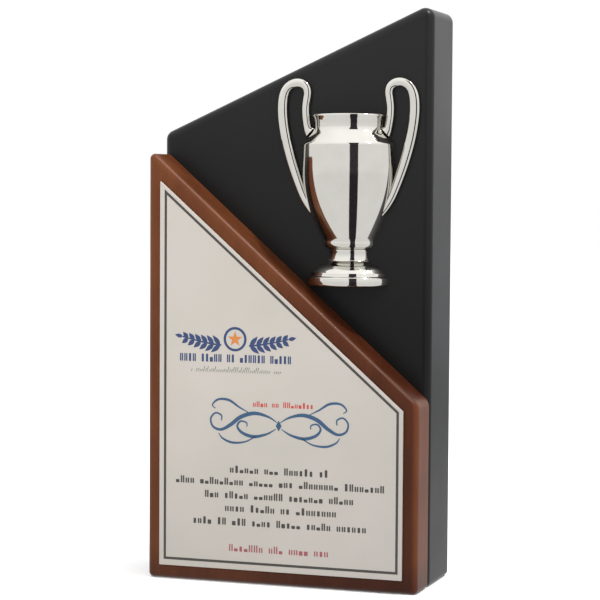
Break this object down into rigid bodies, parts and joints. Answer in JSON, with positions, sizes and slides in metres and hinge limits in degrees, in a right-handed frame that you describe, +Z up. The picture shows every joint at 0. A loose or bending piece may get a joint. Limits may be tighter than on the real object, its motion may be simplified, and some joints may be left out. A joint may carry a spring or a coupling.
{
  "type": "plaque",
  "caption": "Free-standing desk plaque: a tall dark panel with a slanted top carries a relief cup, and a low wooden panel with a diagonal top carries a metal plate.",
  "frame": {"origin": "middle of the footprint, on the underside that the plaque stands on", "axes": "+Z up, front faces -Y, +X to the right as seen from the front"},
  "size_m": [0.1, 0.043, 0.2021],
  "materials": {
    "black_lacquered_wood": "satin black lacquer",
    "walnut_wood": "reddish brown stain under clear satin lacquer",
    "pale_metal": "fine matt, printed",
    "adhesive": "transfer adhesive sheet",
    "chrome": "mirror polished",
    "zinc_steel": "bright zinc plate",
    "yellow_steel": "yellow zinc plate"
  },
  "bodies": {
    "root": {"rear_panel": "black_lacquered_wood", "front_panel": "walnut_wood", "award_plate": "pale_metal", "plate_adhesive": "adhesive", "cup_bowl": "chrome", "cup_foot": "chrome", "cup_handle_left": "chrome", "cup_handle_right": "chrome", "cup_screws": "zinc_steel", "cup_washers": "zinc_steel", "panel_screws": "yellow_steel"}
  },
  "joints": []
}
